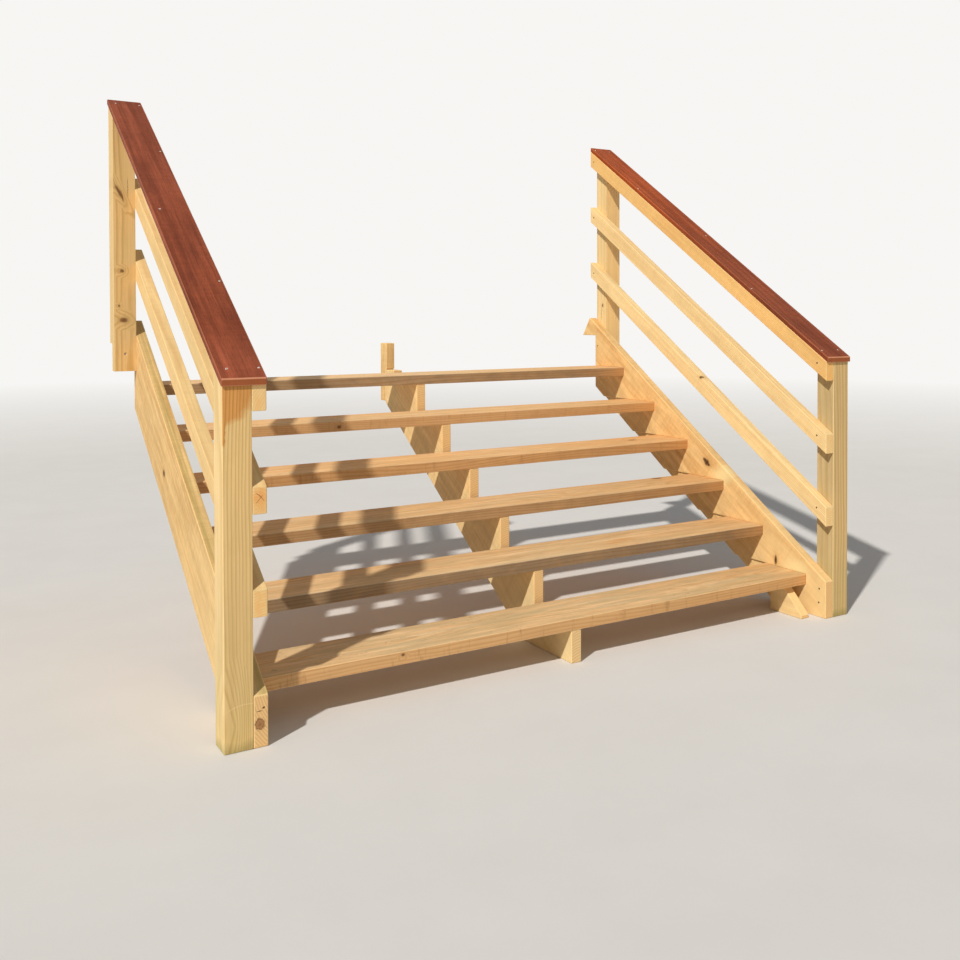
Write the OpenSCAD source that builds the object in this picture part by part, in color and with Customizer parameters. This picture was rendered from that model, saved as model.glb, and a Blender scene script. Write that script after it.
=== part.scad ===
// Open-riser timber stair that climbs from the ground to a raised deck.
// X runs across the flight, +Y climbs towards the deck and +Z is up, in millimetres.
// The origin lies on the hanger's front face, where the hanger bears on the deck's rim beam.

/* [Flight] */
// Height of one step
rise = 168; // [150:1:185]
// Horizontal distance from one tread nose to the next
going = 256; // [250:1:290]
// Clear width between the two side stringers
clear_w = 2430; // [1200:10:2800]

/* [Stringers] */
// Width of a stringer board, across its grain
stringer_w = 290; // [280:5:320]
// Thickness of a stringer board
stringer_t = 45; // [35:1:55]
// Height of a side stringer's upper edge above the line of the tread noses
edge_above_nosing = 62; // [45:1:70]
// How far the side stringers' plumb front ends stand in front of the bottom nose
foot_reach = 110; // [95:1:120]
// How far the centre stringer's riser cuts stand back from the tread noses
tooth_setback = 2; // [0:1:8]

/* [Treads] */
// Depth of a tread from nose to back edge
tread_d = 240; // [200:1:240]
// Thickness of a tread
tread_t = 45; // [35:1:50]
// Depth of the housings that take the tread ends
housing_d = 10; // [6:1:15]

/* [Posts] */
// Side of the square posts
post_w = 90; // [80:1:100]
// Length of a top post's tongue below the deck surface
tongue_h = 119; // [100:1:125]
// Diameter of the bolt hole through each tongue
bolt_hole_d = 11; // [9:1:13]

/* [Rails] */
// Width of a rail board, across its grain
rail_w = 70; // [60:1:80]
// Thickness of a rail board
rail_t = 45; // [35:1:50]
// Height of the top rail's upper edge above the line of the tread noses
top_rail_h = 1000; // [900:1:1050]
// Vertical distance from one rail to the next
rail_pitch = 310; // [250:1:320]

/* [Handrail] */
// Width of the handrail board
cap_w = 140; // [136:1:150]
// Thickness of the handrail board
cap_t = 19; // [19:1:30]
// How far the handrail stands in front of the bottom post
cap_reach = 8; // [0:1:25]

/* [Deck joint] */
// Thickness of the deck boards
deck_board_t = 25; // [19:1:32]
// Depth of the rim beam under the deck boards
beam_h = 104; // [100:1:120]
// Thickness of the rim beam, from its front face to its back face
beam_t = 90; // [45:1:95]
// Length of the stringer horn's square end above the deck surface, measured upwards
horn_h = 98; // [75:1:120]
// Depth of the hanger, front to back
hanger_d = 70; // [45:1:90]
// Depth of the housing in the hanger that takes the centre stringer's end
hanger_housing = 10; // [6:1:20]

/* [Foot block] */
// Thickness of the foot block
block_w = 45; // [35:1:60]
// Gap between the foot block and the stringer
block_gap = 45; // [30:1:60]
// Length of the foot block along the flight, at the ground
block_l = 180; // [160:1:220]
// Distance of the foot block's front end from the stringer's plumb front end
block_setback = 52; // [45:1:60]
// Height of the foot block's blunt tip, below its mitred end
block_tip_h = 15; // [8:1:25]

/* [Hidden] */

$fn = 48;
TREADS = 6;
LEFT = -1;
RIGHT = 1;

// The slope of the flight
pitch = atan(rise / going);
deck_z = rise * (TREADS + 1);
front_y = -TREADS * going - foot_reach;
inner_x = clear_w / 2;
// Board widths measured straight up
stringer_plumb = stringer_w / cos(pitch);
rail_plumb = rail_w / cos(pitch);
cap_plumb = cap_t / cos(pitch);

// The origin's place, measured from the ground and from the rim beam's front face
beam_top = deck_z - deck_board_t;
beam_bottom = beam_top - beam_h;
origin_y = beam_t;
origin_z = (beam_top + beam_bottom) / 2;

// The centre stringer's top stands a little above the top tread
bump_h = 10;
centre_top = deck_z - rise + bump_h;
centre_back_y = beam_t + hanger_housing;
hanger_bottom = nosing_z(centre_back_y) - tread_t - stringer_plumb + bump_h;
// Play above the stringer's end in the hanger's housing
housing_play = 3;
// Room past a surface that is cut through
past = 50;

// Height of the line through the tread noses at a distance y from the rim beam
function nosing_z(y) = deck_z + y * rise / going;
function edge_z(y) = nosing_z(y) + edge_above_nosing;
function lower_z(y) = edge_z(y) - stringer_plumb;
// Distance at which a line that climbs with the flight from height z at y reaches the ground
function ground_y(y, z) = y - z * going / rise;

timber = "burlywood";
pale = "wheat";
red_timber = "sienna";

// Moves from the ground and the rim beam's front face to the part's own origin
module placed() translate([0, -origin_y, -origin_z]) children();

// A board whose side view is an outline of [y, z] points, t thick from x towards +X
module board(x, t, outline)
    translate([x, 0, 0]) rotate([90, 0, 90]) linear_extrude(t) polygon(outline);

// Inner face of one side's boards: the board lies on the outer side of it
function board_x(side, t) = side == LEFT ? -inner_x - t : inner_x;

// The horn ends square to the board's length, from its apex down to the deck
apex_y = (horn_h - edge_above_nosing) * going / rise;
horn_back_y = apex_y + horn_h * tan(pitch);

module side_stringer(side)
    difference() {
        board(board_x(side, stringer_t), stringer_t, [
            [front_y, 0],
            [ground_y(0, lower_z(0)), 0],
            [0, lower_z(0)],
            [0, deck_z],
            [horn_back_y, deck_z],
            [apex_y, deck_z + horn_h],
            [front_y, edge_z(front_y)]
        ]);
        for (step = [1:TREADS]) tread_housing(side, step);
    }

// A housing starts at the tread's nose and runs out through the stringer's lower edge
module tread_housing(side, step) {
    inside = side == LEFT ? -inner_x - housing_d : inner_x - past;
    run = (stringer_plumb + edge_above_nosing + tread_t) * going / rise;
    translate([inside, tread_y(step), tread_z(step) - tread_t])
        cube([housing_d + past, run, tread_t]);
}

// Step 1 is the top tread, and step 6 is the bottom one
function tread_y(step) = -step * going;
function tread_z(step) = deck_z - step * rise;

module tread(step)
    translate([-inner_x - housing_d, tread_y(step), tread_z(step) - tread_t])
        cube([clear_w + 2 * housing_d, tread_d, tread_t]);

// Riser cut and seat of each step, from the bottom of the flight to the top
function saw_teeth() = [
    for (step = [TREADS:-1:1], corner = [0, 1])
        [tread_y(step - corner) + tooth_setback, tread_z(step) - tread_t]
];

module centre_stringer() {
    low_end = nosing_z(centre_back_y) - tread_t - stringer_plumb;
    board(-stringer_t / 2, stringer_t, concat(
        [[centre_back_y, low_end], [centre_back_y, centre_top], [tooth_setback, centre_top]],
        [for (i = [2 * TREADS - 1:-1:0]) saw_teeth()[i]],
        [[tread_y(TREADS) + tooth_setback, 0], [ground_y(centre_back_y, low_end), 0]]
    ));
}

// The hanger's front face bears on the rim beam, and its lower end is housed for the stringer
module centre_hanger() {
    shoulder = centre_top + housing_play;
    board(-stringer_t / 2, stringer_t, [
        [centre_back_y, hanger_bottom],
        [beam_t + hanger_d, hanger_bottom],
        [beam_t + hanger_d, beam_top],
        [beam_t, beam_top],
        [beam_t, shoulder],
        [centre_back_y, shoulder]
    ]);
}

// A board on edge stands on the ground near the right stringer and props the bottom tread
// Its front end is mitred at 45 degrees, down to a blunt tip
module foot_block() {
    front = front_y + block_setback;
    top = tread_z(TREADS) - tread_t;
    board(inner_x - block_gap - block_w, block_w, [
        [front, 0],
        [front + block_l, 0],
        [front + block_l, top],
        [front + top - block_tip_h, top],
        [front, block_tip_h]
    ]);
}

function post_x(side) = side == LEFT ? -inner_x - rail_t - post_w : inner_x + rail_t;
function rail_edge_z(y) = nosing_z(y) + top_rail_h;

module bottom_post(side)
    board(post_x(side), post_w, [
        [front_y, 0],
        [front_y + post_w, 0],
        [front_y + post_w, rail_edge_z(front_y + post_w)],
        [front_y, rail_edge_z(front_y)]
    ]);

// The top post is halved over the edge of the deck, which leaves a tongue on the rim beam
module top_post(side) {
    half = post_w / 2;
    difference() {
        board(post_x(side), post_w, [
            [-half, deck_z - tongue_h],
            [0, deck_z - tongue_h],
            [0, deck_z],
            [half, deck_z],
            [half, rail_edge_z(half)],
            [-half, rail_edge_z(-half)]
        ]);
        translate([post_x(side) + half, past, bolt_z]) rotate([90, 0, 0])
            cylinder(d = bolt_hole_d, h = post_w + 2 * past);
    }
}
bolt_z = deck_z - deck_board_t - tongue_h / 6;

// Rail 0 lies under the handrail, and the others follow below it
// Its back end is flush with the top post's back face
rail_reach = post_w / 2;
module rail(side, index) {
    drop = index * rail_pitch;
    board(board_x(side, rail_t), rail_t, [
        [front_y, rail_edge_z(front_y) - drop - rail_plumb],
        [rail_reach, rail_edge_z(rail_reach) - drop - rail_plumb],
        [rail_reach, rail_edge_z(rail_reach) - drop],
        [front_y, rail_edge_z(front_y) - drop]
    ]);
}

module handrail(side) {
    start = front_y - cap_reach;
    board(side == LEFT ? -inner_x - cap_w : inner_x, cap_w, [
        [start, rail_edge_z(start)],
        [rail_reach, rail_edge_z(rail_reach)],
        [rail_reach, rail_edge_z(rail_reach) + cap_plumb],
        [start, rail_edge_z(start) + cap_plumb]
    ]);
}

module left_stringer() color(pale) placed() side_stringer(LEFT);
module right_stringer() color(pale) placed() side_stringer(RIGHT);
module tread_n(step) color(timber) placed() tread(step);

left_stringer();
right_stringer();
color(pale) placed() centre_stringer();
color(pale) placed() centre_hanger();
tread_n(1);  // tread_1
tread_n(2);  // tread_2
tread_n(3);  // tread_3
tread_n(4);  // tread_4
tread_n(5);  // tread_5
tread_n(6);  // tread_6
color(pale) placed() bottom_post(LEFT);  // left_bottom_post
color(pale) placed() bottom_post(RIGHT);  // right_bottom_post
color(pale) placed() top_post(LEFT);  // left_top_post
color(pale) placed() top_post(RIGHT);  // right_top_post
color(timber) placed() rail(LEFT, 2);  // left_lower_rail
color(timber) placed() rail(LEFT, 1);  // left_middle_rail
color(timber) placed() rail(LEFT, 0);  // left_top_rail
color(timber) placed() rail(RIGHT, 2);  // right_lower_rail
color(timber) placed() rail(RIGHT, 1);  // right_middle_rail
color(timber) placed() rail(RIGHT, 0);  // right_top_rail
color(red_timber) placed() handrail(LEFT);  // left_handrail
color(red_timber) placed() handrail(RIGHT);  // right_handrail
color(pale) placed() foot_block();  // right_foot_block
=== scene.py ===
"""Looks of a timber deck stair: eased boards, wood grain, screws and a plain studio."""

import math
from types import SimpleNamespace

import bmesh
import bpy
import numpy as np
from bpy.props import FloatProperty, FloatVectorProperty, PointerProperty
from mathutils import Matrix, Vector


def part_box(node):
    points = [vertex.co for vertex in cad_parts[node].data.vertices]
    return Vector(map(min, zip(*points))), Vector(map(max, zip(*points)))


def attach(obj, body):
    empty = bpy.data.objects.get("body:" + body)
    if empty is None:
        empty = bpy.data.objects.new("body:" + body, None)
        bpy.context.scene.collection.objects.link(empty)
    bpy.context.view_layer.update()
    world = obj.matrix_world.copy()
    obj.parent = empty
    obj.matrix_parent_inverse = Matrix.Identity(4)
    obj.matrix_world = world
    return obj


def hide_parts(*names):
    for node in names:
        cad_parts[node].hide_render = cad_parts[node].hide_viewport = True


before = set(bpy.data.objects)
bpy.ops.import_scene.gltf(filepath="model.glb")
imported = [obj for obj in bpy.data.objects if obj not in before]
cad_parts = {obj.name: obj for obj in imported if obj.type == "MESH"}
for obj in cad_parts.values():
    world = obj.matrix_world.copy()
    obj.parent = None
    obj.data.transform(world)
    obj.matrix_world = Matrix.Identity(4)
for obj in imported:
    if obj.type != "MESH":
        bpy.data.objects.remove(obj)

bl_info = {
    "name": "Timber Deck Stair",
    "version": (1, 0, 0),
    "blender": (4, 5, 0),
    "location": "3D View > Sidebar > Deck Stair",
    "description": "Dresses a timber deck stair with eased boards, wood grain and screws",
    "category": "Object",
}

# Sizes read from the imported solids


def span(node):
    """Lowest and highest corner of a solid as two arrays."""
    low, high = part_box(node)
    return np.array(low), np.array(high)


def front_of(step):
    """Place of a tread's front face along Y, counted from the top tread."""
    return float(span(f"tread_{step}")[0][1])


def top_of(step):
    """Height of a tread's upper face, counted from the top tread."""
    return float(span(f"tread_{step}")[1][2])


TREADS = [f"tread_{step}" for step in range(1, 7)]
SIDES = {"left": -1, "right": 1}
RAILS = ("lower", "middle", "top")
RISE = top_of(1) - top_of(2)
GOING = front_of(1) - front_of(2)
SLOPE = RISE / GOING
PITCH = math.atan2(RISE, GOING)
UPHILL = np.array([0.0, math.cos(PITCH), math.sin(PITCH)])
SQUARE_UP = np.array([0.0, -math.sin(PITCH), math.cos(PITCH)])
X_AXIS, Y_AXIS, Z_AXIS = np.eye(3)
POST_LOW, POST_HIGH = span("left_bottom_post")
GROUND = float(POST_LOW[2])
POST_FRONT = float(POST_LOW[1])
# Height of a bottom post's sloping head at its front
HEAD = float(POST_HIGH[2] - (POST_HIGH[1] - POST_LOW[1]) * SLOPE)
TOP_POST_FRONT = float(span("left_top_post")[0][1])
# Distances from the middle to the inner and outer faces of the rails and stringers
INSIDE = float(span("right_top_rail")[0][0])
OUTSIDE = -float(span("left_top_rail")[0][0])


# Settings


def length_setting(name, description, default, low, high):
    return FloatProperty(
        name=name, description=description, default=default, min=low, max=high, unit="LENGTH"
    )


def strength_setting(name, description, default, high):
    return FloatProperty(name=name, description=description, default=default, min=0.0, max=high)


def colour_setting(name, description, default):
    return FloatVectorProperty(
        name=name, description=description, default=default, min=0.0, max=1.0, subtype="COLOR"
    )


class StairTimberSettings(bpy.types.PropertyGroup):
    board_ease: length_setting(
        "Board Easing", "Radius of the eased arrises of the pine boards", 0.003, 0.001, 0.006
    )
    cap_ease: length_setting(
        "Handrail Easing",
        "Radius of the rounded arrises of the hardwood handrails",
        0.003,
        0.001,
        0.009,
    )
    ring_width: length_setting(
        "Ring Width",
        "Distance from one growth ring to the next in the pine",
        0.0075,
        0.002,
        0.02,
    )
    stringer_colour: colour_setting(
        "Stringer Pine", "Colour of the early wood in the stringers", (0.84, 0.572, 0.256)
    )
    post_colour: colour_setting(
        "Post Pine", "Colour of the early wood in the posts", (0.88, 0.65, 0.335)
    )
    tread_colour: colour_setting(
        "Tread Pine", "Colour of the early wood in the treads", (0.86, 0.57, 0.29)
    )
    rail_colour: colour_setting(
        "Rail Pine", "Colour of the early wood in the rails", (0.94, 0.70, 0.35)
    )
    hardwood_colour: colour_setting(
        "Handrail Hardwood", "Colour of the oiled hardwood", (0.285, 0.070, 0.032)
    )


class StairScrewSettings(bpy.types.PropertyGroup):
    head: length_setting("Screw Head", "Diameter of a screw head", 0.0085, 0.005, 0.012)


class StairStageSettings(bpy.types.PropertyGroup):
    key_strength: strength_setting("Key Light", "Strength of the key light", 3.1, 10.0)
    fill_strength: strength_setting(
        "Fill Light", "Strength of the even light from all round", 0.28, 2.0
    )
    lens: FloatProperty(
        name="Lens",
        description="Focal length of the camera",
        default=0.03863,
        unit="CAMERA",
    )


# Meshes

# Points on the quarter turn of an eased arris
EASE_POINTS = 4
# Points closer than this are one point, and faces at less than this angle are one face
MERGE = 1e-5
SAME_PLANE = math.radians(1.0)
# Angle between two faces, in radians, above which their edge is eased
SHARP = 0.35
# Cosine above which a face is square to one of the boards' directions
SQUARE = 0.995
# Cosine against the grain above which such a face is a cut end
ACROSS_GRAIN = 0.75
# A face whose normal is below this along Y or X is turned to the front or the left
TURNED = -0.5
# Distance along the grain from one board to the next, so that no two look alike
GRAIN_STEP = 10.0


def eased_outline(half_a, half_b, ease):
    """Rounded rectangle, a row per ring: corner centres plus quarter turns of radius ease."""
    turn = np.linspace(0.0, math.pi / 2, EASE_POINTS)
    quarter = np.arange(4) * math.pi / 2
    angle = (quarter[:, None] + turn[None, :]).ravel()
    sign_a = np.repeat([1.0, -1.0, -1.0, 1.0], EASE_POINTS)
    sign_b = np.repeat([1.0, 1.0, -1.0, -1.0], EASE_POINTS)
    a = (np.asarray(half_a)[:, None] - ease) * sign_a + ease * np.cos(angle)
    b = (np.asarray(half_b)[:, None] - ease) * sign_b + ease * np.sin(angle)
    return a, b


def new_mesh(name, points, faces):
    mesh = bpy.data.meshes.new(name)
    mesh.from_pydata(points.tolist(), [], faces)
    mesh.validate()
    mesh.update()
    return mesh


def carried_faces(rings, sides, offset=0):
    """Quads between one ring and the next, and one cap at each end."""
    r, s = np.meshgrid(np.arange(rings - 1), np.arange(sides), indexing="ij")
    here, beside = r * sides + s, r * sides + (s + 1) % sides
    quads = np.stack([here, beside, beside + sides, here + sides], -1).reshape(-1, 4)
    start = np.arange(sides)[::-1]
    end = (rings - 1) * sides + np.arange(sides)
    return [face.tolist() for face in (*(quads + offset), start + offset, end + offset)]


def carried_board(start, along, across, up, size, ease, lean=(0.0, 0.0)):
    """A rounded rectangle carried from start along a straight line.

    The rings near each end step in by a quarter turn of radius ease, which eases
    the ends. Each ring leans along the line by lean times its height in the section,
    which runs evenly from the first end's lean to the last one's. The section is
    turned over where across, up and along would make a left hand, so that the
    faces point outwards.
    """
    across = np.asarray(across) * np.sign(np.cross(across, up) @ np.asarray(along))
    length, wide, high = size
    turn = np.linspace(0.0, math.pi / 2, EASE_POINTS)
    run = ease * (1 - np.cos(turn))
    inset = ease * (1 - np.sin(turn))
    s = np.concatenate([run, length - run[::-1]])
    step_in = np.concatenate([inset, inset[::-1]])
    a, b = eased_outline(wide / 2 - step_in, high / 2 - step_in, ease)
    tilt = lean[0] + (lean[1] - lean[0]) * s / length
    shift = s[:, None] + tilt[:, None] * b
    points = (
        np.asarray(start)
        + shift[..., None] * np.asarray(along)
        + a[..., None] * across
        + b[..., None] * np.asarray(up)
    )
    return points.reshape(-1, 3), carried_faces(len(s), a.shape[1])


def eased_copy(node, ease):
    """A merged copy of a solid whose sharp edges are eased."""
    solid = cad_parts[node]
    work = bmesh.new()
    work.from_mesh(solid.data)
    bmesh.ops.remove_doubles(work, verts=work.verts, dist=MERGE)
    bmesh.ops.dissolve_limit(
        work, angle_limit=SAME_PLANE, verts=work.verts, edges=work.edges
    )
    sharp = [e for e in work.edges if e.is_manifold and e.calc_face_angle(0.0) > SHARP]
    bmesh.ops.bevel(
        work,
        geom=sharp,
        offset=ease,
        offset_type="OFFSET",
        segments=2,
        profile=0.5,
        affect="EDGES",
        clamp_overlap=True,
    )
    mesh = bpy.data.meshes.new(node + "_eased")
    work.to_mesh(mesh)
    work.free()
    return mesh


def sloping_board(node, ease):
    """A board that climbs with the flight and has plumb ends, from its solid's box."""
    low, high = span(node)
    size = high - low
    plumb = size[2] - size[1] * SLOPE
    start = np.array([(low[0] + high[0]) / 2, low[1], low[2] + plumb / 2])
    along = np.array([0.0, 1.0, SLOPE])
    board = carried_board(start, along, X_AXIS, Z_AXIS, (size[1], size[0], plumb), ease)
    return new_mesh(node + "_board", *board)


def keep(mesh, key, values, where="FACE"):
    """Stores one number, or one vector, for each face or point of a mesh."""
    values = np.asarray(values, np.float32)
    kind, part = ("FLOAT_VECTOR", "vector") if values.ndim == 2 else ("FLOAT", "value")
    mesh.attributes.new(key, kind, where).data.foreach_set(part, values.ravel())


def write_grain(mesh, node):
    """Stores what the finish needs to know of a board's points and faces.

    Each point gets its place along the grain, and then across it from the pith,
    with its board's wear and warmth. Each face gets the way that it faces, its tint
    (lowered as painted shade on some faces turned to the left), how much darker a
    tread's front is made, and whether it is a cut end or an eased arris.
    """
    _, along, pith, tint, wear, warmth = BOARDS[node]
    side = Y_AXIS if along is X_AXIS else X_AXIS
    up = np.cross(along, side)
    fineness = FINENESS.get(node, 1.0)
    order = list(BOARDS).index(node)
    low, high = span(node)
    count = len(mesh.vertices)
    points = np.empty(count * 3, np.float32)
    mesh.vertices.foreach_get("co", points)
    off = points.reshape(-1, 3) - (low + high) / 2
    grain = (
        off @ along + GRAIN_STEP * order,
        (off @ side - pith[0]) * fineness,
        (off @ up - pith[1]) * fineness,
    )
    keep(mesh, "grain", np.stack(grain, -1), "POINT")
    normals = np.empty(len(mesh.polygons) * 3, np.float32)
    mesh.polygons.foreach_get("normal", normals)
    normals = normals.reshape(-1, 3)
    flat = np.zeros(len(normals), bool)
    for axis in (X_AXIS, Y_AXIS, Z_AXIS, UPHILL, SQUARE_UP):
        flat |= np.abs(normals @ axis) > SQUARE
    keep(mesh, "cut_end", (np.abs(normals @ along) > ACROSS_GRAIN) & flat)
    keep(mesh, "arris", ~flat)
    keep(mesh, "facing", normals)
    keep(mesh, "soil", np.where(normals[:, 1] < TURNED, FRONT_DARKENING.get(node, 0.0), 0.0))
    # Faces turned to the left on the boards in the left-face table get a lower tint, as painted
    # shade
    keep(mesh, "tint", np.where(normals[:, 0] < TURNED, LEFT_FACE_SHADE.get(node, tint), tint))
    keep(mesh, "wear", np.full(count, wear), "POINT")
    keep(mesh, "warmth", np.full(count, warmth), "POINT")


def place(name, mesh, material, slot=None, *nodes):
    """Shows a mesh as a piece that stands for its solids, if it has any."""
    piece = bpy.data.objects.new(name, mesh)
    bpy.context.scene.collection.objects.link(piece)
    mesh.materials.append(material)
    if nodes:
        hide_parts(*nodes)
    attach(piece, "root")
    return piece


# Materials


class Nodes:
    """Short way to add and join nodes of one material, whose colour so far is base."""

    def __init__(self, name):
        self.material = bpy.data.materials.new(name)
        self.material.use_nodes = True
        self.tree = self.material.node_tree
        self.shader = self.tree.nodes["Principled BSDF"]

    def add(self, kind, *values, out=0, **settings):
        made = self.tree.nodes.new(kind)
        for key, value in settings.items():
            setattr(made, key, value)
        for socket, value in zip(made.inputs, values):
            if value is not None:
                self.put(socket, value)
        return made.outputs[out]

    def put(self, socket, value):
        if isinstance(value, bpy.types.NodeSocket):
            self.tree.links.new(value, socket)
        else:
            socket.default_value = value

    def where(self):
        """The point's place in the part."""
        return self.add("ShaderNodeTexCoord", out=3)

    def number(self, key):
        """A number that write_grain keeps on the mesh."""
        return self.add("ShaderNodeAttribute", out=2, attribute_name=key)

    def triple(self, key):
        """Three numbers that write_grain keeps on the mesh."""
        return self.add("ShaderNodeAttribute", out=1, attribute_name=key)

    def part(self, vector, axis):
        return self.add("ShaderNodeSeparateXYZ", vector, out=axis)

    def maths(self, operation, a, b=None, c=None):
        return self.add("ShaderNodeMath", a, b, c, operation=operation)

    def times(self, product, *factors):
        for factor in factors:
            product = self.maths("MULTIPLY", product, factor)
        return product

    def vector(self, operation, a, b=None):
        out = 1 if operation == "LENGTH" else 0
        return self.add("ShaderNodeVectorMath", a, b, out=out, operation=operation)

    def toned(self, base, factors):
        """A colour with its red, green and blue each multiplied by a factor."""
        return self.vector("MULTIPLY", base, factors)

    def lit(self, light):
        """Makes the base lighter or darker by one number."""
        self.base = self.toned(self.base, self.add("ShaderNodeCombineXYZ", *[light] * 3))

    def cover(self, factor, tone, share=1.0):
        """Mixes a plain colour into the base."""
        self.base = self.mix(factor, self.base, colour(tone, share))

    def dye(self, factor, factors):
        """Mixes the base's own colour times some factors into the base."""
        self.base = self.mix(factor, self.base, self.toned(self.base, factors))

    def noise(self, vector, scale=1.0, detail=2.0, rough=0.5, colour=False):
        made = self.tree.nodes.new("ShaderNodeTexNoise")
        self.put(made.inputs["Vector"], vector)
        made.inputs["Scale"].default_value = scale
        made.inputs["Detail"].default_value = detail
        made.inputs["Roughness"].default_value = rough
        return made.outputs["Color" if colour else "Fac"]

    def ramp(self, value, *stops):
        made = self.tree.nodes.new("ShaderNodeValToRGB")
        self.put(made.inputs[0], value)
        steps = made.color_ramp.elements
        while len(steps) < len(stops):
            steps.new(1.0)
        for step, (position, level) in zip(steps, stops):
            step.position = position
            step.color = (level, level, level, 1.0)
        return made.outputs[0]

    def spread(self, value, low, high, to_low=0.0, to_high=1.0):
        """Carries low to to_low and high to to_high, and stops there."""
        return self.add("ShaderNodeMapRange", value, low, high, to_low, to_high)

    def sway(self, noise, to_low, to_high):
        """Carries the range in which most of a noise lies to another one."""
        return self.spread(noise, 0.3, 0.7, to_low, to_high)

    def mix(self, factor, a, b):
        made = self.tree.nodes.new("ShaderNodeMix")
        made.data_type = "RGBA"
        for index, value in ((0, factor), (6, a), (7, b)):
            self.put(made.inputs[index], value)
        return made.outputs[2]

    def stretched(self, vector, along, across):
        """Scales the grain coordinates, so that a pattern runs long in the board."""
        return self.vector("MULTIPLY", vector, (along, across, across))

    def long_noise(self, vector, along, across, detail=2.0, rough=0.5):
        return self.noise(self.stretched(vector, along, across), 1.0, detail, rough)

    def shaken(self, vector, pattern, reach):
        """Moves a place by a coloured noise, by up to half the reach either way."""
        off = self.vector("SUBTRACT", pattern, (0.5, 0.5, 0.5))
        return self.vector("ADD", vector, self.vector("MULTIPLY", off, reach))

    def nearest_mark(self, where, places):
        """Distance to the nearest mark, where 1 is the edge of that mark's ellipsoid."""
        nearest = None
        for centre, radii, *lean in places:
            away = self.vector("SUBTRACT", where, centre)
            if lean:
                away = self.add(
                    "ShaderNodeVectorRotate", away, None, None, lean[0], rotation_type="Y_AXIS"
                )
            away = self.vector("MULTIPLY", away, tuple(1 / r for r in radii))
            away = self.vector("LENGTH", away)
            nearest = away if nearest is None else self.maths("MINIMUM", nearest, away)
        return nearest

    def emboss(self, height, strength, distance):
        bump = self.tree.nodes.new("ShaderNodeBump")
        bump.inputs["Strength"].default_value = strength
        bump.inputs["Distance"].default_value = distance
        self.put(bump.inputs["Height"], height)
        self.put(self.shader.inputs["Normal"], bump.outputs[0])


def colour(rgb, factor=1.0):
    return tuple(min(1.0, c * factor) for c in rgb) + (1.0,)


# Darkness of a knot from its middle outwards, as (half of the distance, level)
EYE_RING = ((0.0, 0.8), (0.16, 0.35), (0.38, 0.45), (0.48, 0.95), (0.58, 0.2), (0.75, 0.0))
KNOT_CORE = ((0.0, 1.0), (0.24, 0.94), (0.36, 0.74), (0.46, 0.8), (0.54, 0.34), (0.72, 0.0))
# Looks of a pine board where its kind has none of its own
PLAIN_PINE = {
    "sawn": 0.0,
    "grime": 0.0,
    "green": 0.0,
    "pale": 0.0,
    "front": (1.0, 1.0, 1.0),
    "end_tone": (1.04, 0.87, 0.78),
    "end_rings": 0.6,
    "end_amber": 0.2,
    # Strength of the painted highlight on the eased arrises
    "rubbed": 0.5,
    "relief": 0.3,
    "knot_tone": (0.115, 0.042, 0.014),
    "check_tone": (0.09, 0.04, 0.02),
}


def marked(n, where, kind):
    return n.nearest_mark(where, n.marks.get(kind, ()))


def draw_rings(n, ring):
    """Rings: a saw-tooth of the distance from a pith that wanders and bends at knots."""
    wander = n.looks.wander * 4
    drift = n.noise(n.stretched(n.grain, 0.8, 2.5), detail=1.0, colour=True)
    bent = n.shaken(n.grain, drift, (0.0, wander, wander))
    wobble = n.noise(n.stretched(n.grain, 3.0, 24.0), colour=True)
    n.bent = n.shaken(bent, wobble, (0.0, 0.007, 0.007))
    radius = n.vector("LENGTH", n.vector("MULTIPLY", n.bent, (0.0, 1.0, 1.0)))
    if n.knot is not None:
        radius = n.maths("ADD", radius, n.spread(n.knot, 0.8, 4.5, 0.016, 0.0))
    swirl = marked(n, n.place, "swirls")
    if swirl is not None:
        radius = n.maths("ADD", radius, n.spread(swirl, 0.0, 1.3, 0.026, 0.0))
    line = n.add("ShaderNodeCombineXYZ", radius)
    uneven = n.times(n.noise(n.vector("MULTIPLY", line, (38.0, 0.0, 0.0))), 1.1)
    phase = n.maths("ADD", n.maths("DIVIDE", radius, ring), uneven)
    tooth = ((0.0, 0.0), (0.45, 0.12), (0.84, 1.0), (0.96, 0.5), (1.0, 0.0))
    n.band = n.ramp(n.maths("FRACT", phase), *tooth)


def draw_wood(n):
    """Early and late wood, long fibres and mottling, and saw marks where sawn."""
    late, contrast = n.late, n.looks.contrast
    n.fibres = n.long_noise(n.grain, 5.0, 420.0, 3.0, 0.65)
    n.streak = n.long_noise(n.grain, 1.3, 70.0, 4.0, 0.62)
    n.patch = n.long_noise(n.grain, 2.2, 9.0)
    n.blotch = n.long_noise(n.grain, 14.0, 26.0, 3.0, 0.6)
    strength = n.spread(n.patch, 0.25, 0.75, contrast * 0.55, contrast)
    if n.looks.green:
        strength = n.times(strength, n.spread(n.leftward, 0.0, 1.0, 1.0, 0.55))
    n.base = n.mix(n.times(n.band, strength), colour(n.early), colour(late))
    n.cover(n.spread(n.streak, 0.48, 0.74, 0.0, 0.34), late, 0.97)
    n.cover(n.spread(n.blotch, 0.5, 0.8, 0.0, 0.18), late, 0.95)
    # The tint carries each board's own tone, and painted shade on some faces turned to the left
    light = n.times(
        n.sway(n.fibres, 0.92, 1.05),
        n.sway(n.patch, 0.93, 1.05),
        n.maths("MULTIPLY_ADD", n.number("tint"), 0.16, 1.0),
    )
    if n.looks.sawn:
        light = n.times(light, saw_marks(n, n.looks.sawn))
    n.lit(light)


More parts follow.
